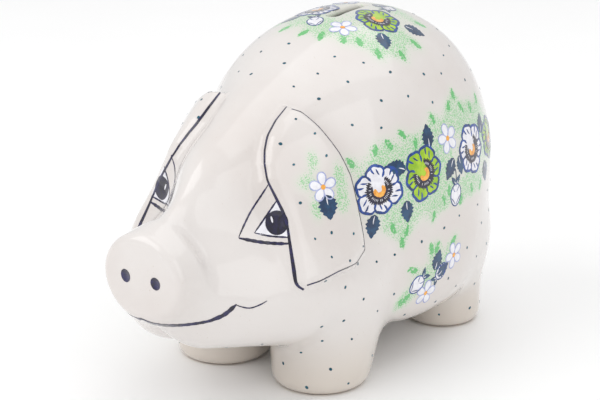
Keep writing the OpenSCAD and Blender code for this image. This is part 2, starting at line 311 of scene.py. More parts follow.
def grid_lines(low, high, zones):
    """Grid lines a cell apart, closer inside the zones (start, end, step)."""
    lines = [low]
    while lines[-1] < high:
        steps = [step for start, end, step in zones if start <= lines[-1] < end]
        lines.append(lines[-1] + min(steps + [CELL]))
    return np.array(lines)


def sample(field, axes):
    """Field values on the grid; far from the surface a neighbour's value is good enough."""
    points = np.stack(np.meshgrid(*axes, indexing="ij"), -1)
    coarse = points[::2, ::2, ::2]
    rough = field_at(field, coarse.reshape(-1, 3)).reshape(coarse.shape[:3])
    nx, ny, nz = points.shape[:3]
    values = rough.repeat(2, 0).repeat(2, 1).repeat(2, 2)[:nx, :ny, :nz]
    near = np.abs(values) < 4.5 * CELL
    values[near] = field_at(field, points[near])
    return values


def surface_nets(values, axes):
    """One vertex in each cell that the surface crosses, one quad round each grid edge that it crosses."""
    inside = values < 0
    size = [n - 1 for n in values.shape]
    count = sum(inside[i:i + size[0], j:j + size[1], k:k + size[2]].astype(np.int8) for i, j, k in CORNERS)
    crossed = (count > 0) & (count < 8)
    cells = np.argwhere(crossed)
    number = np.full(crossed.shape, -1)
    number[crossed] = np.arange(len(cells))
    total = np.zeros((len(cells), 3))
    hits = np.zeros(len(cells))
    for start, end in EDGES:
        a, b = cells + start, cells + end
        va, vb = values[tuple(a.T)], values[tuple(b.T)]
        hit = (va < 0) != (vb < 0)
        t = np.where(hit, va / np.where(hit, va - vb, 1), 0)[:, None]
        pa = np.stack([axes[i][a[:, i]] for i in range(3)], -1)
        pb = np.stack([axes[i][b[:, i]] for i in range(3)], -1)
        total += np.where(hit[:, None], pa + (pb - pa) * t, 0)
        hits += hit
    quads = []
    for axis in range(3):
        b, c = np.eye(3, dtype=int)[(axis + 1) % 3], np.eye(3, dtype=int)[(axis + 2) % 3]
        first = inside.take(range(size[axis]), axis)
        g = np.argwhere(first != inside.take(range(1, size[axis] + 1), axis))
        ring = np.stack([number[tuple(q.T)] for q in (g - b - c, g - c, g, g - b)], -1)
        solid_first = first[tuple(g.T)]
        quads.append(np.where(solid_first[:, None], ring, ring[:, ::-1]))
    return total / hits[:, None], np.concatenate(quads), cells


def coarsen(points, quads, cells, mask, factor):
    """Merges the masked vertices in blocks of factor cells a side. Returns points and faces."""
    key = np.where(mask[:, None], cells // factor * factor, cells)
    code = ((key[:, 0] * 4096 + key[:, 1]) * 4096 + key[:, 2]) * 2 + mask
    _, where, count = np.unique(code, return_inverse=True, return_counts=True)
    merged = np.stack([np.bincount(where, points[:, i]) for i in range(3)], -1) / count[:, None]
    faces = where[quads]
    rolled = np.roll(faces, -1, 1)
    repeats = (faces == rolled).sum(1)
    crossed = (faces[:, 0] == faces[:, 2]) | (faces[:, 1] == faces[:, 3])
    kept = [list(f) for f in faces[(repeats == 0) & ~crossed]]
    for f, r in zip(faces[(repeats == 1) & ~crossed], rolled[(repeats == 1) & ~crossed]):
        kept.append([a for a, b in zip(f, r) if a != b])
    return merged, kept


def make_piece(name, points, faces, material, body, normals=None):
    """A mesh object from points in millimetres, riding on a CAD body."""
    mesh = bpy.data.meshes.new(name)
    mesh.from_pydata((np.asarray(points) * MM).tolist(), [], [list(map(int, f)) for f in faces])
    mesh.shade_smooth()
    if normals is not None:
        mesh.normals_split_custom_set_from_vertices(np.asarray(normals).tolist())
    mesh.materials.append(material)
    piece = bpy.data.objects.new(name, mesh)
    bpy.context.scene.collection.objects.link(piece)
    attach(piece, body)
    return piece


def clay_mesh():
    """Points, faces and normals of the clay wall, fine outside and coarse inside."""
    margin = 3 * CELL
    x_zones = [(-14, 14, 0.9), (-4, 4, 0.7)]
    y_zones = [(SNOUT_FACE_Y - 2, SNOUT_FACE_Y + 4, 0.9)]
    z_zones = [(SLOT_C[2] - 10, SLOT_C[2] + 4, 0.9), (SNOUT_Z - 5, SNOUT_Z + 5, 0.9)]
    low, high = np.array(CAD_BOX[0]) / MM, np.array(CAD_BOX[1]) / MM
    axes = [grid_lines(low[i] - margin, high[i] + margin, zones)
            for i, zones in enumerate((x_zones, y_zones, z_zones))]
    points, quads, cells = surface_nets(sample(shell, axes), axes)
    deep = field_at(clay, points) < -0.6 * WALL
    near_slot = (np.abs(points[:, 0]) < 9) & (points[:, 2] > SLOT_C[2] - 14)
    near_hole = (np.hypot(*(points - HOLE_C)[:, :2].T) < HOLE_R + 6) & (points[:, 2] < 40)
    points, faces = coarsen(points, quads, cells, deep & ~near_slot & ~near_hole, 3)
    points, normals = settle(shell, points, 2)
    return points, faces, normals


# ---- materials ----------------------------------------------------------------------------------


def linear(red, green, blue):
    """A screen colour, 0 to 255, as the linear colour that shaders use."""
    scaled = [c / 255 for c in (red, green, blue)]
    return tuple(c / 12.92 if c <= 0.04045 else ((c + 0.055) / 1.055) ** 2.4 for c in scaled) + (1,)


class Shader:
    """A short way to wire the nodes of one material."""

    def __init__(self, name):
        self.material = bpy.data.materials.new(name)
        self.material.use_nodes = True
        self.tree = self.material.node_tree
        self.surface = self.tree.nodes["Principled BSDF"]
        self.place = self.add("ShaderNodeTexCoord").outputs["Object"]

    def add(self, kind, **settings):
        node = self.tree.nodes.new(kind)
        for name, value in settings.items():
            setattr(node, name, value)
        return node

    def join(self, source, target):
        self.tree.links.new(source, target)

    def noise(self, scale, detail=3.0, rough=0.5):
        node = self.add("ShaderNodeTexNoise")
        node.inputs["Scale"].default_value = scale
        node.inputs["Detail"].default_value = detail
        node.inputs["Roughness"].default_value = rough
        self.join(self.place, node.inputs["Vector"])
        return node.outputs["Fac"]

    def between(self, value, low, high, out_low=0.0, out_high=1.0):
        node = self.add("ShaderNodeMapRange", clamp=True, interpolation_type="SMOOTHSTEP")
        limits = zip(("From Min", "From Max", "To Min", "To Max"), (low, high, out_low, out_high))
        for socket, limit in limits:
            if isinstance(limit, (int, float)):
                node.inputs[socket].default_value = limit
            else:
                self.join(limit, node.inputs[socket])
        self.join(value, node.inputs["Value"])
        return node.outputs["Result"]

    def painted(self, amount, scale, sparse, dense, soft):
        """Blots of colour whose cover follows a painted amount on the mesh, from none to dense."""
        cover = self.add("ShaderNodeAttribute", attribute_name=amount).outputs["Fac"]
        low = self.between(cover, 0.0, 1.0, sparse, dense)
        high = self.between(cover, 0.0, 1.0, sparse + soft, dense + soft)
        return self.between(self.noise(scale, 2, 0.6), low, high)

    def mix(self, share, first, second):
        node = self.add("ShaderNodeMix", data_type="RGBA")
        for socket, colour in ((6, first), (7, second)):
            if isinstance(colour, tuple):
                node.inputs[socket].default_value = colour
            else:
                self.join(colour, node.inputs[socket])
        self.join(share, node.inputs[0])
        return node.outputs[2]

    def bump(self, height, strength, distance):
        node = self.add("ShaderNodeBump")
        node.inputs["Strength"].default_value = strength
        node.inputs["Distance"].default_value = distance
        self.join(height, node.inputs["Height"])
        self.join(node.outputs["Normal"], self.surface.inputs["Normal"])

    def set(self, **sockets):
        for name, value in sockets.items():
            self.surface.inputs[name.replace("_", " ")].default_value = value


def glaze_gloss(shader):
    """The clear glaze that covers clay and paint alike."""
    shader.set(IOR=1.5, Specular_IOR_Level=0.2, Coat_Weight=1.0, Coat_Roughness=0.07, Coat_IOR=1.5)
    shader.join(shader.between(shader.noise(90), 0.35, 0.65, 0.16, 0.24), shader.surface.inputs["Roughness"])
    shader.bump(shader.noise(55, 2), 0.12, 0.0004)


def glazed_clay():
    s = Shader("cream_glaze")
    cream, pale, shade_below = linear(214, 207, 203), linear(221, 216, 213), linear(209, 199, 187)
    colour = s.mix(s.between(s.noise(14, 4), 0.35, 0.65), cream, pale)
    height = s.add("ShaderNodeSeparateXYZ")
    s.join(s.place, height.inputs[0])
    # Painted shade: the cream turns warmer and darker towards the bottom, below about 45 mm
    colour = s.mix(s.between(height.outputs["Z"], 0.045, 0.004, 0.0, 0.75), colour, shade_below)
    speck = s.between(s.noise(900, 1), 0.74, 0.80, 0.0, 0.35)
    colour = s.mix(speck, colour, linear(186, 170, 152))
    damp = s.add("ShaderNodeAttribute", attribute_name="sponge").outputs["Fac"]
    colour = s.mix(s.between(damp, 0.0, 1.0, 0.0, 0.35), colour, linear(196, 221, 192))
    colour = s.mix(s.painted("sponge", 1400, 0.78, 0.47, 0.08), colour, linear(144, 201, 146))
    colour = s.mix(s.painted("dab", 700, 0.85, 0.22, 0.26), colour, linear(98, 184, 110))
    sole = s.between(height.outputs["Z"], 0.0016, 0.0006)
    colour = s.mix(sole, colour, linear(196, 172, 146))
    s.join(colour, s.surface.inputs["Base Color"])
    glaze_gloss(s)
    return s.material


def pigment(name, dark, light, scale=260):
    """Underglaze paint whose strength varies as the brush or sponge left it."""
    s = Shader(name)
    s.join(s.mix(s.between(s.noise(scale, 4, 0.6), 0.36, 0.64), dark, light), s.surface.inputs["Base Color"])
    glaze_gloss(s)
    return s.material


def rubber():
    s = Shader("stopper_rubber")
    s.join(s.mix(s.between(s.noise(180, 4), 0.3, 0.7), linear(38, 38, 40), linear(58, 57, 58)),
           s.surface.inputs["Base Color"])
    s.join(s.between(s.noise(400), 0.3, 0.7, 0.5, 0.68), s.surface.inputs["Roughness"])
    s.bump(s.noise(1400, 2), 0.25, 0.0002)
    return s.material


# ---- painting -----------------------------------------------------------------------------------

SINK = 0.12     # how far the underside of a paint film sits in the glaze
RANDOM = np.random.default_rng(11)


class Paint:
    """One colour of paint: closed films that lie on the clay, gathered into one piece."""

    def __init__(self, name, material, lift, field=skin):
        self.name, self.material, self.lift, self.field = name, material, lift, field
        self.points, self.under, self.faces, self.count = [], [], [], 0

    def add(self, points, under, faces, both_sides):
        for side in (1, -1) if both_sides else (1,):
            self.points.append(points * vec(side, 1, 1))
            self.under.append(under)
            self.faces += [[self.count + i for i in (f if side == 1 else f[::-1])] for f in faces]
            self.count += len(points)

    def finish(self):
        points, normals = settle(self.field, np.concatenate(self.points), 3)
        height = np.where(np.concatenate(self.under), -SINK, self.lift)
        make_piece(self.name, points + normals * height[:, None], self.faces, self.material,
                   "pig", normals)


class Place:
    """A spot on the skin with a flat drawing frame: right, and up across it."""

    def __init__(self, start, direction, right, both_sides=True, turn=0.0):
        p = vec(*start)[None]
        direction, right = unit(vec(*direction)), vec(*right)
        for _ in range(60):
            p = p + direction * np.clip(0.8 * skin(p), -6, 30)[:, None]
        normal = unit(gradient(skin, p))[0]
        flat = unit(right - normal * (right @ normal))
        up = np.cross(normal, flat)
        c, s = math.cos(math.radians(turn)), math.sin(math.radians(turn))
        self.origin, self.normal, self.both_sides = p[0], normal, both_sides
        self.right, self.up = c * flat + s * up, c * up - s * flat

    def at(self, flat_points):
        q = np.asarray(flat_points, float)
        return self.origin + q[:, :1] * self.right + q[:, 1:2] * self.up


class Sight:
    """A flat drawing frame in the air that throws its points straight onto the skin."""

    def __init__(self, origin, outward):
        self.origin, self.outward, self.both_sides = vec(*origin), unit(vec(*outward)), False
        self.right = unit(np.cross(vec(0, 0, 1), self.outward))
        self.up = np.cross(self.outward, self.right)

    def at(self, flat_points):
        q = np.asarray(flat_points, float)
        p = self.origin + 30 * self.outward + q[:, :1] * self.right + q[:, 1:2] * self.up
        for _ in range(80):
            p = p - self.outward * np.clip(0.7 * skin(p), -3, 10)[:, None]
        return p


def flank(y, z, turn=0.0):
    """A place on the side of the pig, drawn on both sides."""
    return Place((95, y, z), (-1, 0, 0), (0, 1, 0), True, turn)


def rump(degrees, z, turn=0.0):
    """A place on the rear, by its angle from the side towards the tail."""
    a = math.radians(degrees)
    out = vec(math.cos(a), math.sin(a), 0)
    return Place(vec(0, BARREL_C[1], z) + 130 * out, -out, (-out[1], out[0], 0), True, turn)


def back(x, y, turn=0.0):
    """A place on the back, drawn once."""
    return Place((x, y, 210), (0, 0, -1), (1, 0, 0), False, turn)


def smooth_line(points, step, closed=False):
    """Evenly spaced points along a smooth curve through the given ones."""
    p = np.asarray(points, float)
    ends = (p[-1:], p[:1], p[1:2]) if closed else (2 * p[:1] - p[1:2], 2 * p[-1:] - p[-2:-1], None)
    q = np.concatenate([ends[0], p, ends[1]] + ([ends[2]] if closed else []))
    dense = []
    for a, b, c, d in zip(q, q[1:], q[2:], q[3:]):
        for t in np.linspace(0, 1, 12, endpoint=False):
            dense.append(0.5 * (2 * b + (c - a) * t + (2 * a - 5 * b + 4 * c - d) * t ** 2
                                + (3 * b - a - 3 * c + d) * t ** 3))
    dense.append(p[0] if closed else p[-1])
    dense = np.array(dense)
    length = np.concatenate([[0], np.cumsum(np.linalg.norm(np.diff(dense, axis=0), axis=1))])
    n = max(3, int(round(length[-1] / step)) + 1)
    even = np.linspace(0, length[-1], n)
    line = np.stack([np.interp(even, length, dense[:, i]) for i in range(dense.shape[1])], -1)
    return line[:-1] if closed else line


def blob(paint, place, outline, rings=2):
    """A filled shape. The outline is a loop of flat points that its middle can see."""
    outline = np.asarray(outline, float)
    ahead = np.roll(outline, -1, 0)
    if np.sum(outline[:, 0] * ahead[:, 1] - outline[:, 1] * ahead[:, 0]) < 0:
        outline = outline[::-1]
    n, middle = len(outline), np.mean(outline, axis=0)
    loops = [middle + (outline - middle) * (1 - i / rings) for i in range(rings)]
    flat = np.concatenate(loops + [middle[None]])
    top = n * rings
    ring = [(i, (i + 1) % n) for i in range(n)]
    faces = [[r * n + i, r * n + j, r * n + n + j, r * n + n + i] for r in range(rings - 1) for i, j in ring]
    faces += [[(rings - 1) * n + i, (rings - 1) * n + j, top] for i, j in ring]
    low = len(flat)
    faces += [[low + i for i in f[::-1]] for f in faces] + [[low + i, low + j, j, i] for i, j in ring]
    on_skin = place.at(flat)
    paint.add(np.concatenate([on_skin, on_skin]), np.arange(2 * low) >= low, faces, place.both_sides)


def film(paint, left, right, closed, both_sides):
    """A strip between two lines of points on the clay, closed underneath."""
    n = len(left)
    under = np.arange(4 * n) >= 2 * n
    points = np.concatenate([left, right, left, right])
    faces = []
    for i in range(n if closed else n - 1):
        j = (i + 1) % n
        faces += [[i, n + i, n + j, j], [2 * n + j, 3 * n + j, 3 * n + i, 2 * n + i],
                  [j, 2 * n + j, 2 * n + i, i], [n + i, 3 * n + i, 3 * n + j, n + j]]
    if not closed:
        m = n - 1
        faces += [[0, 2 * n, 3 * n, n], [m, n + m, 3 * n + m, 2 * n + m]]
    paint.add(points, under, faces, both_sides)


def widths_along(n, width, closed, taper_ends=0.35):
    """Half width of a brush line: thin ends, slight wobble."""
    t = np.linspace(0, 1, n)
    ends = 1 if closed else taper_ends + (1 - taper_ends) * np.minimum(1, 6 * np.minimum(t, 1 - t))
    return 0.5 * width * ends * (1 + 0.12 * np.sin(np.arange(n) * 1.7))


def stroke(paint, place, points, width, closed=False, step=1.3):
    """A brush line through flat points."""
    line = smooth_line(points, step, closed)
    ahead = np.roll(line, -1, 0) - np.roll(line, 1, 0)
    if not closed:
        ahead[0], ahead[-1] = line[1] - line[0], line[-1] - line[-2]
    side = unit(np.stack([-ahead[:, 1], ahead[:, 0]], -1)) * widths_along(len(line), width, closed)[:, None]
    film(paint, place.at(line + side), place.at(line - side), closed, place.both_sides)


def skin_stroke(paint, points, widths, both_sides=True, step=1.2):
    """A brush line through points in space, laid on the paint's own surface."""
    line = smooth_line(points, step)
    line, normals = settle(paint.field, line, 4)
    ahead = np.gradient(line, axis=0)
    t = np.linspace(0, 1, len(line))
    half = np.interp(t, np.linspace(0, 1, len(widths)), widths)[:, None] / 2
    side = unit(np.cross(normals, ahead)) * half
    film(paint, line + side, line - side, False, both_sides)


def turned(points, degrees, centre=(0, 0)):
    a = math.radians(degrees)
    x, y = np.asarray(points, float).T
    return np.stack([x * math.cos(a) - y * math.sin(a), x * math.sin(a) + y * math.cos(a)], -1) + centre


def loop_angles(n):
    return np.arange(n) * 2 * math.pi / n


PALETTE = {
    "cobalt": pigment("paint_cobalt", linear(12, 50, 104), linear(24, 72, 158)),
    "lilac": pigment("paint_lilac", linear(146, 156, 206), linear(182, 188, 222)),
    "leaf": pigment("paint_leaf", linear(10, 46, 82), linear(20, 72, 110), 180),
    "white": pigment("paint_white", linear(226, 225, 232), linear(238, 238, 243)),
    "lime": pigment("paint_lime", linear(138, 182, 4), linear(172, 208, 30), 180),
    "orange": pigment("paint_orange", linear(228, 142, 34), linear(246, 182, 80), 400),
    "centre": pigment("paint_centre", linear(10, 8, 26), linear(24, 20, 58), 500),
    "teal": pigment("paint_teal", linear(12, 66, 84), linear(30, 96, 114), 400),
    "line": pigment("paint_line", linear(12, 9, 36), linear(30, 27, 78), 300),
}
LIFTS = {"white": 0.09, "lime": 0.09, "leaf": 0.10, "lilac": 0.13, "cobalt": 0.14, "centre": 0.16,
         "orange": 0.18, "teal": 0.10, "line": 0.17}
PAINTS = {name: Paint("painted_" + name, material, LIFTS[name]) for name, material in PALETTE.items()}
SPARKLE = Paint("painted_sparkle", PALETTE["white"], 0.20)
EYE_WHITE = Paint("painted_eye_white", PALETTE["white"], 0.05)
EYE_LINE = Paint("painted_eye_line", PALETTE["line"], 0.10)
EYE_DARK = Paint("painted_pupil", PALETTE["centre"], 0.13)
EYE_SPARK = Paint("painted_eye_spark", PALETTE["white"], 0.20)


def petal(length, base, half_width, ruffle, n=24):
    """A rounded petal along +y from base to length, its far edge ruffled."""
    a = loop_angles(n)
    reach = (length - base) / 2
    wave = 1 + ruffle * np.cos(6 * a) * (np.cos(a) > -0.1)
    return np.stack([half_width * np.sin(a) * (1 + 0.18 * np.cos(a)) * wave,
                     base + reach + reach * np.cos(a) * wave], -1)


PETALS = 6
PETAL_BASE, PETAL_HALF_WIDTH, PETAL_RUFFLE = 0.16, 0.39, 0.05       # shares of the flower or petal
STAMEN_FROM, STAMEN_TO, STAMEN_STEP = 132, 404, 9                   # degrees round the flower


def petal_edge(size, r):
    """The part of a petal's outline that its neighbours leave free, from side to side."""
    edge = petal(size, PETAL_BASE * r, PETAL_HALF_WIDTH * size, PETAL_RUFFLE, 60)
    bearing = np.degrees(np.arctan2(edge[:, 0], edge[:, 1]))
    order = np.argsort(bearing)
    free = (np.abs(bearing[order]) < 32) & (edge[order, 1] > 0.5 * r)
    return edge[order][free]


def flower(place, r, fill, turn=0.0, centre=(0, 0)):
    """A wide open flower: six ruffled petals, a dark crescent of stamens and an orange heart."""

    def line(paint, points, angle, width):
        stroke(paint, place, turned(np.multiply(points, r), angle, centre), width)

    def arc(radius, start, end, n):
        return [turned([(radius, 0)], a)[0] for a in np.linspace(start, end, n)]

    a = loop_angles(12)
    blob(PAINTS[fill], place, 0.32 * r * np.stack([np.cos(a), np.sin(a)], -1) + centre, 1)
    outline = PAINTS["cobalt"]
    for k in range(PETALS):
        share = 1 + 0.07 * math.sin(2.4 * k + turn)
        size = r * share
        angle = turn + 360 / PETALS * k
        shape = petal(size, PETAL_BASE * r, PETAL_HALF_WIDTH * size, PETAL_RUFFLE)
        blob(PAINTS[fill], place, turned(shape, angle, centre), 2)
        stroke(outline, place, turned(petal_edge(size, r), angle, centre), 1.5)
        line(outline, [(0, 0.50), (0.02, 0.64), (0, 0.80)], angle + 180 / PETALS, 1.2)
        line(outline, [(0.02, 0.95 * share), (0.0, 0.85 * share), (0.05, 0.68 * share)], angle + 8, 1.0)
        line(outline, [(0.0, 0.85 * share), (0.05, 0.68 * share), (0.10, 0.58 * share)], angle - 6, 0.8)
    line(PAINTS["centre"], arc(0.38, 140, 395, 12), turn, 0.31 * r)
    for a in np.arange(STAMEN_FROM, STAMEN_TO, STAMEN_STEP) + turn:
        tip = 0.57 + 0.06 * RANDOM.random()
        line(PAINTS["centre"], [(0.40, 0), (0.46, 0.2 / r), (tip, 0)], a, 1.2)
        if RANDOM.random() < 0.6:
            line(SPARKLE, [(0.36, 0), (0.40, 0), (0.46, 0)], a + 4, 0.3)
    line(PAINTS["orange"], arc(0.19, 150, 400, 9), turn, 0.19 * r)


def leaf(place, length, angle, width=0.34, centre=(0, 0)):
    """A pointed leaf with a toothed edge and a pale rib, growing from its centre point along +y."""
    length = 1.16 * length
    t = np.linspace(0, 1, 13)
    half = 0.82 * width * length * np.sin(math.pi * t ** 0.8) ** 0.9 * (1 + 0.34 * (np.arange(13) % 2))
    shape = np.concatenate([np.stack([half, t * length], -1), np.stack([-half, t * length], -1)[-2:0:-1]])
    blob(PAINTS["leaf"], place, turned(shape, angle, centre), 2)
    rib = [(0, 0.06 * length), (0.2, 0.22 * length), (0, 0.4 * length)]
    stroke(SPARKLE, place, turned(rib, angle, centre), 0.5)


def daisy(place, r, turn=0.0, centre=(0, 0)):
    """A small five-petalled flower with pale outlines."""
    for k in range(5):
        shape = petal(r, 0.12 * r, 0.31 * r, 0.0, 14)
        blob(PAINTS["white"], place, turned(shape, turn + 72 * k, centre), 2)
        stroke(PAINTS["lilac"], place, turned(shape, turn + 72 * k, centre), 0.6, True)
    a = loop_angles(9)
    blob(PAINTS["orange"], place, np.stack([0.18 * r * np.cos(a), 0.18 * r * np.sin(a)], -1) + centre, 1)


def bud(place, r, turn=0.0, centre=(0, 0)):
    """A closed bud: an outlined egg with folds at its tip, sepals and two leaves at its stalk."""
    a = loop_angles(18)
    egg = np.stack([0.78 * r * np.sin(a) * (1 + 0.10 * np.cos(a)), r * np.cos(a)], -1)
    blob(PAINTS["white"], place, turned(egg, turn, centre), 2)
    stroke(PAINTS["cobalt"], place, turned(egg, turn, centre), 0.65, True)
    for side in (1, -1):
        fold = [(0.66 * side * r, -0.15 * r), (0.30 * side * r, -0.55 * r), (0.05 * side * r, -0.86 * r)]
        stroke(PAINTS["cobalt"], place, turned(fold, turn, centre), 0.5)
        cup = [(0.42 * side * r, 0.78 * r), (0.30 * side * r, 0.45 * r), (0.10 * side * r, 0.30 * r)]
        stroke(PAINTS["cobalt"], place, turned(cup, turn, centre), 0.45)
    stalk = turned([(0, 0.95 * r)], turn, centre)[0]
    for angle in (-42, 38):
        leaf(place, 0.9 * r, turn + angle, 0.24, stalk)


class Wash:
    """A soft paint that the clay's own material shows: an amount, 0 to 1, at every mesh point."""

    def __init__(self, name, falloff):
        self.name, self.falloff, self.patches = name, falloff, []

    def add(self, place, size, angle, centre, strength):
        self.patches.append((place, vec(*size), angle, centre, strength))

    def amounts(self, points):
        total = np.zeros(len(points))
        for place, size, angle, centre, strength in self.patches:
            q = (mirrored(points) if place.both_sides else points) - place.origin
            near = np.flatnonzero((q * q).sum(-1) < (3 * size.max() + 12) ** 2)
            flat = np.stack([q[near] @ place.right, q[near] @ place.up], -1) - centre
            across = turned(flat, -angle) / size
            deep = q[near] @ place.normal
            total[near] += strength * np.exp(-0.5 * self.falloff * (across ** 2).sum(-1)) * (deep > -14)
        return np.clip(total, 0, 1)

    def put_on(self, piece, points):
        """Stores the amounts as an attribute of the piece's points, and returns them."""
        amounts = self.amounts(points)
        piece.data.attributes.new(self.name, "FLOAT", "POINT").data.foreach_set("value", amounts)
        return amounts


SPONGE, DAB = Wash("sponge", 1.9), Wash("dab", 4.0)


def sponge(place, size, angle=0.0, amount=1.0, centre=(0, 0)):
    """A cloud of sponged specks, dense in the middle; size is its two half widths."""
    SPONGE.add(place, size, angle, centre, amount)


def brush(place, length, angle, centre=(0, 0)):
    """A short, soft, dabbed green leaf in a small cloud of specks."""
    middle = turned([(0, 0.5 * length)], angle, centre)[0]
    DAB.add(place, (0.28 * length, 0.62 * length), angle, middle, 2.4)
    SPONGE.add(place, (0.55 * length, 0.8 * length), angle, middle, 0.6)


def paint_flanks():
    """The band of flowers along both sides and round the rump."""
    first, second, third, fourth = flank(-12, 105.5), flank(16, 108.5), flank(60, 111), flank(87, 110)
    for place, size in ((first, (19, 17)), (second, (17, 19)), (third, (16, 18)), (fourth, (14, 17))):
        sponge(place, size, 0, 1.0)
    for y, z, angle in ((-22, 118, 30), (-12, 122, -20), (-2, 124, 20), (8, 128, 35), (12, 121, -15),
                        (30, 131, 10), (44, 134, -25), (52, 138, -10), (58, 131, 30), (66, 128, 0),
                        (-6, 87, 200), (4, 84, 170), (0, 78, 190), (24, 87, 160), (30, 94, 200),
                        (48, 90, 170), (58, 93, 190), (70, 92, 170), (36, 98, 180), (76, 130, -20)):
        brush(flank(y, z), 7, angle)
    for y, z, size in ((-4, 119, (11, 6)), (30, 127, (11, 7)), (50, 131, (13, 8)), (34, 112, (7, 9)),
                       (0, 86, (12, 7)), (28, 92, (12, 7)), (54, 92, (14, 6)), (74, 124, (9, 9))):
        sponge(flank(y, z), size, 0, 0.9)
    leaf(flank(-15, 93), 11, 165)
    leaf(flank(3, 97), 10.5, 185)
    leaf(flank(4, 113), 10.5, 65)
    leaf(flank(22, 120.5), 11, -5)
    leaf(flank(41, 111), 11, 145)
    leaf(flank(46, 111), 9.5, 190, 0.3)
    leaf(flank(73, 116), 9.5, -20)
    leaf(flank(76, 100), 10.5, 190)
    flower(first, 13.5, "white", 10)
    flower(second, 13.5, "lime", 40)
    flower(third, 13.0, "white", 20)
    flower(fourth, 12.0, "lime", 5)
    daisy(flank(38, 122), 8, 12)
    stroke(PAINTS["leaf"], flank(42, 97), [(0, 8), (0.5, 3), (0, -2)], 0.7)
    bud(flank(42, 90.5), 6, 0)
    tail_side = rump(72, 112)
    sponge(tail_side, (15, 15), 0, 0.9)
    brush(tail_side, 8, 30, (6, 6))
    brush(tail_side, 8, 170, (4, -6))
    daisy(tail_side, 8, 30)
    leaf(tail_side, 9, 200, 0.42, (-2, -8))
    leaf(tail_side, 9, -30, 0.42, (3, 8))


def paint_lower_flank():
    """The smaller bunch low on each flank, between the legs."""
    place = flank(24, 50)
    sponge(place, (24, 8), 28, 1.0, (-2, 2))
    for angle, centre in ((10, (-2, 12)), (-20, (1, 12)), (70, (-12, 6)), (140, (-16, -6)), (120, (-20, -8)),
                          (-40, (14, 12))):
        brush(place, 8, angle, centre)
    leaf(place, 10, -20, 0.36, (1, 3))
    leaf(place, 9, -60, 0.36, (4, -1))
    daisy(place, 7.5, 20, (18, 7))
    daisy(place, 7.5, -10, (-4, -9))
    bud(place, 5.5, -50, (-12, -2))
    bud(place, 5.0, -230, (7, 1))


def paint_ears():
    """A daisy, a leaf and green sponging on each ear."""
    place = Place(EAR_C + 60 * EAR_N + vec(0, 4, 10), -EAR_N, EAR_U)
    for centre, size in (((-9, 4), (6, 5)), ((-3, 14), (4, 6)), ((10, 4), (4, 8)), ((-6, -10), (4, 7)),
                         ((9, -9), (4, 6))):
        sponge(place, size, 0, 1.0, centre)
    leaf(place, 11, 180, 0.42, (1, -4))
    daisy(place, 7.5, 0)


def paint_back():
    """The bunch round the coin slot."""
    for x, y, size, angle in ((20, 38, (19, 18), 0), (4, 14, (20, 9), 0), (-16, 26, (14, 12), 0),
                              (-18, 52, (13, 14), 0), (14, 64, (15, 9), 0), (36, 30, (9, 13), 0)):
        sponge(back(x, y), size, angle, 0.9)
    for x, y, angle in ((8, 8, 200), (0, 7, 160), (18, 12, 215), (24, 16, 230), (34, 18, 240),
                        (-14, 10, 150), (-24, 18, 120), (-30, 34, 90), (-26, 58, 60), (-8, 66, 10),
                        (8, 70, -10), (28, 62, -40), (38, 44, -70), (40, 30, -100)):
        brush(back(x, y), 8, angle)
    leaf(back(29, 30), 11, -125)
    leaf(back(30, 50), 11, -50)
    leaf(back(-20, 42), 10, 60)
    leaf(back(-18, 24), 10, 130)
    leaf(back(8, 56), 9, 15)
    flower(back(20, 40), 12.5, "lime", 25)
    flower(back(-15, 34), 11.5, "white", 50)
    daisy(back(14, 17), 7.5, 10)
    daisy(back(-12, 56), 7.5, 40)
    bud(back(-3, 16), 5.5, 40)
    bud(back(12, 62), 5.0, -160)


# the left eye and mouth as seen from FRONT_QUARTER: right and up of the pupil's middle
EYE_OUTER = [(-3.9, 19.0), (-7.5, 13.6), (-13.2, 4.8), (-18.0, -5.5), (-18.5, -7.5)]
EYE_BOTTOM = [(-18.5, -7.5), (-7.9, -9.5), (0, -10.2), (6.6, -10.2)]
EYE_INNER = [(0.4, 11.4), (-3.5, 5.8), (-11.0, -5.0)]
EYE_LID = [(-11.0, -5.0), (-3, -6.6), (6.6, -7.2)]
EYE_WHITE_SHAPE = [(0.4, 11.0), (-3.5, 5.4), (-10.4, -4.8), (-3, -6.4), (6.2, -7), (5.4, 0), (3.5, 5)]
LIP = [(-65.6, -46.5), (-60.5, -48.6), (-53.6, -49.6), (-43.2, -49.2), (-32.4, -47.4),
       (-25.5, -44.5), (-19.6, -39.6)]
CHEEK = [(-19.6, -39.6), (-18.1, -40.5), (-13.2, -41.5), (-8.3, -40.0), (-4.8, -38.1)]
FRONT_QUARTER = vec(0.57, -0.75, 0.33)


def paint_eye(side, rise):
    """One eye, drawn as it looks from the front quarter, up against the edge of the ear."""
    sight = Sight((side * 38.8, -71.5, 100.6 + rise), FRONT_QUARTER * vec(side, 1, 1))
    turned_in = vec(side, 1)
    for points, width in ((EYE_OUTER, 0.9), (EYE_BOTTOM, 1.6), (EYE_INNER, 0.9), (EYE_LID, 0.9)):
        stroke(EYE_LINE, sight, points * turned_in, width, False, 0.9)
    blob(EYE_WHITE, sight, smooth_line(EYE_WHITE_SHAPE * turned_in, 1.0, True), 6)
    a = loop_angles(28)
    blob(EYE_DARK, sight, np.stack([5.7 * np.cos(a), 6.1 * np.sin(a)], -1), 4)
    dash = turned(np.stack([0.5 * np.cos(a[::2]), 1.7 * np.sin(a[::2])], -1), 14, (-2.4, 1.6))
    blob(EYE_SPARK, sight, dash * turned_in, 1)


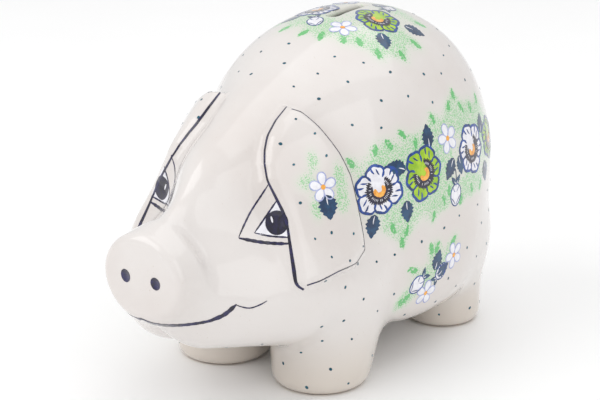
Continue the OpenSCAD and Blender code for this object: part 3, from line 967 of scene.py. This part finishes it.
def paint_mouth(side):
    """Half of the mouth line with the small curl of the cheek at its corner."""
    sight = Sight((side * 38.8, -71.5, 100.6), FRONT_QUARTER * vec(side, 1, 1))
    turned_in = vec(side, 1)
    stroke(PAINTS["line"], sight, LIP * turned_in, 1.3, False, 1.0)
    stroke(PAINTS["line"], sight, LIP[-3:] * turned_in, 1.9, False, 1.0)
    stroke(PAINTS["line"], sight, CHEEK * turned_in, 0.6, False, 1.0)


def paint_ear_edge():
    """The bold front line and the fine rear line along the rim of each ear."""
    rim = [EAR_C + u * EAR_U + v * EAR_V for u, v in EAR_OUTLINE]
    front = smooth_line(rim[:EAR_LOW_CORNER + 1], 3.0)
    rear = smooth_line(rim[EAR_LOW_CORNER:] + rim[:1], 3.0)
    for line, widths, inset, high in (
            (front, (0.9, 1.3, 1.4, 1.2, 1.0, 1.3, 1.6, 1.3, 1.7, 2.1, 1.2), 0.6, 1.2),
            (rear, (0.8, 0.5, 0.45, 0.5, 0.6), 1.8, 4.2)):
        out = line - EAR_C
        on_rim = EAR_C + out * (1 - inset / np.linalg.norm(out, axis=1, keepdims=True))
        for _ in range(12):
            height = trunk(on_rim, mirrored(on_rim), EAR_FACE_SQUEEZE) - high
            on_rim = on_rim - 0.85 * height[:, None] * EAR_N
        skin_stroke(PAINTS["line"], on_rim, widths)


def paint_face():
    """Eyes, ear edges, mouth and nostrils, in dark blue brush lines."""
    paint_eye(1, 0)
    paint_eye(-1, 3)
    paint_mouth(1)
    paint_mouth(-1)
    paint_ear_edge()
    nostril = Place((NOSTRIL_X, SNOUT_FACE_Y - 30, SNOUT_Z), (0, 1, 0), (1, 0, 0), False)
    a = loop_angles(24)
    for side in (1, -1):
        shape = turned(np.stack([2.9 * np.cos(a), 3.3 * np.sin(a)], -1), 25)
        blob(PAINTS["line"], nostril, shape + (0 if side == 1 else -2 * NOSTRIL_X, 0), 4)


def on_face(p):
    """True where the pig is left unpainted: its face between the ears, and its snout."""
    return (p[:, 1] < -62) & (p[:, 2] > 38) | (p[:, 1] < -30) & (np.abs(p[:, 0]) < 22) & (p[:, 2] > 120)


DOT_SPACING, EAR_DOT_SPACING, FLOWER_GAP = 14.0, 9.5, 4.0
DOT_PLACES = 9000    # tried at random


def paint_dots(points, sponged):
    """Small teal dots scattered over body, ears and legs, away from the flowers."""
    painted = np.concatenate([q for name in ("white", "lime", "leaf") for q in PAINTS[name].points])
    pool = points[(sponged < 0.12) & (points[:, 2] > 5) & ~on_face(points)]
    pool = pool[RANDOM.permutation(len(pool))[:DOT_PLACES]]
    pool = pool[field_at(skin, pool) > -0.5]
    ear = mirrored(pool) - EAR_C
    on_ear = (outline_distance(ear @ EAR_U, ear @ EAR_V) < -3) & (pool[:, 2] > 60) & (pool[:, 1] < -20)
    chosen = []
    for p, spacing in zip(pool, np.where(on_ear, EAR_DOT_SPACING, DOT_SPACING)):
        apart = min((np.sum((p - q) ** 2) for q in chosen), default=1e9)
        if apart > spacing ** 2 and np.min(np.sum((painted - p) ** 2, axis=1)) > FLOWER_GAP ** 2:
            if abs(p[0]) > 5 or abs(p[1] - SLOT_C[1]) > 20 or p[2] < 150:
                chosen.append(p)
    a = loop_angles(8)
    for p in chosen:
        outward = unit(gradient(skin, p[None]))[0]
        sideways = vec(1, 0.3, 0) if abs(outward[2]) > 0.8 else vec(-outward[1], outward[0], 0)
        place = Place(p + outward, -outward, sideways, False)
        r = RANDOM.uniform(0.7, 1.05)
        oval = np.stack([r * np.cos(a), 0.8 * r * np.sin(a)], -1)
        blob(PAINTS["teal"], place, turned(oval, RANDOM.uniform(0, 180)), 1)


# ---- stopper ------------------------------------------------------------------------------------


def lathe(profile, segments=96):
    """Points and faces of a closed profile (radius, height) turned about the upright axis."""
    profile = np.asarray(profile, float)
    n = len(profile)
    angles = loop_angles(segments)
    r, height = profile.T
    points = np.concatenate([np.stack([r * math.cos(a), r * math.sin(a), height], -1) for a in angles])
    faces = []
    for s in range(segments):
        t = (s + 1) % segments
        for i in range(n - 1):
            faces.append([s * n + i, t * n + i, t * n + i + 1, s * n + i + 1])
    return points, faces


def arc_points(centre, radius, start, end, n=5):
    return [(centre[0] + radius * math.cos(math.radians(a)), centre[1] + radius * math.sin(math.radians(a)))
            for a in np.linspace(start, end, n)]


def stopper_piece():
    """The moulded rubber stopper: dished flange with grip rings, and a hollow ribbed plug."""
    low, high = STOPPER_LOW[2], STOPPER_HIGH[2]
    flange_r = (STOPPER_HIGH[0] - STOPPER_LOW[0]) / 2
    plug_r, seat = HOLE_R - 0.1, low + 2.4
    tip = 0.05
    outline = [(tip, low + 0.9), (4.5, low + 0.9)]
    for ring in (6, 10, 14):
        outline += arc_points((ring, low + 0.7), 0.7, 180, 360, 6)
    outline += [(17, low + 0.6)]
    outline += arc_points((flange_r - 1.0, low + 1.0), 1.0, -80, 90, 7)
    outline += [(plug_r + 0.6, seat - 0.3), (plug_r, seat - 0.1), (plug_r, seat + 4.4)]
    outline += arc_points((plug_r - 0.35, seat + 5.2), 0.45, -60, 60, 5)
    outline += [(plug_r, seat + 6.2), (plug_r - 0.6, high - 1.2), (plug_r - 1.4, high)]
    outline += [(plug_r - 2.6, high), (plug_r - 3.0, high - 0.6), (plug_r - 3.0, seat + 0.8)]
    outline += [(plug_r - 3.6, seat), (tip, seat)]
    points, faces = lathe(outline)
    n = len(outline)
    segments = len(points) // n
    faces.append([s * n for s in range(segments)][::-1])
    faces.append([s * n + n - 1 for s in range(segments)])
    piece = make_piece("rubber_stopper", points + vec(HOLE_C[0], HOLE_C[1], 0), faces, rubber(),
                       "stopper")
    edges = piece.modifiers.new("crisp edges", "EDGE_SPLIT")
    edges.split_angle = math.radians(50)
    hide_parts("stopper")
    return piece


# ---- stage --------------------------------------------------------------------------------------


def floor_piece():
    s = Shader("pale_floor")
    white = s.mix(s.between(s.noise(3), 0.3, 0.7), linear(250, 250, 250), linear(247, 247, 247))
    s.join(white, s.surface.inputs["Base Color"])
    s.set(Roughness=0.6)
    mesh = bpy.data.meshes.new("floor")
    reach = 6.0
    corners = [(-reach, -reach, 0), (reach, -reach, 0), (reach, reach, 0), (-reach, reach, 0)]
    mesh.from_pydata(corners, [], [[0, 1, 2, 3]])
    mesh.materials.append(s.material)
    floor = bpy.data.objects.new("floor", mesh)
    bpy.context.scene.collection.objects.link(floor)


def softbox(name, position, target, size, power, colour=(1, 1, 1)):
    light = bpy.data.lights.new(name, "AREA")
    light.shape, light.size, light.size_y = "RECTANGLE", size[0], size[1]
    light.energy, light.color = power, colour
    holder = bpy.data.objects.new(name, light)
    holder.location = position
    holder.rotation_euler = (Vector(target) - Vector(position)).to_track_quat("-Z", "Y").to_euler()
    bpy.context.scene.collection.objects.link(holder)


def studio():
    """White surroundings, three soft boxes and the camera."""
    world = bpy.data.worlds.new("studio")
    world.use_nodes = True
    world.node_tree.nodes["Background"].inputs["Color"].default_value = (1, 1, 1, 1)
    world.node_tree.nodes["Background"].inputs["Strength"].default_value = 0.77
    bpy.context.scene.world = world
    aim = (0, 0, 0.08)
    softbox("key", (-0.9, -1.3, 1.3), aim, (1.6, 1.6), 13.5)
    softbox("fill", (1.6, -0.6, 0.9), aim, (1.4, 1.6), 6)
    softbox("top", (0.1, 0.4, 1.6), aim, (1.6, 1.6), 6)
    bpy.context.scene.view_settings.view_transform = "Standard"

    azimuth, elevation, distance = math.radians(37), math.radians(19), 1.060
    target = Vector((0, -0.0011, 0.085))
    flat = math.cos(elevation)
    away = Vector((math.sin(azimuth) * flat, -math.cos(azimuth) * flat, math.sin(elevation)))
    data = bpy.data.cameras.new("camera")
    data.lens, data.sensor_width = 120, 36
    camera = bpy.data.objects.new("camera", data)
    camera.location = target + away * distance
    camera.rotation_euler = (-away).to_track_quat("-Z", "Y").to_euler()
    bpy.context.scene.collection.objects.link(camera)
    bpy.context.scene.camera = camera


# ---- build --------------------------------------------------------------------------------------

studio()
floor_piece()
stopper_piece()
body_points, body_faces, body_normals = clay_mesh()
body = make_piece("glazed_pig", body_points, body_faces, glazed_clay(), "pig", body_normals)
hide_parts("torso_shell", "head_shell", "snout_disc", "front_left_leg", "front_right_leg",
            "rear_left_leg", "rear_right_leg", "left_ear", "right_ear", "tail")
paint_flanks()
paint_lower_flank()
paint_ears()
paint_back()
paint_face()
paint_dots(body_points, SPONGE.put_on(body, body_points))
DAB.put_on(body, body_points)
for paint in [*PAINTS.values(), SPARKLE, EYE_WHITE, EYE_LINE, EYE_DARK, EYE_SPARK]:
    paint.finish()
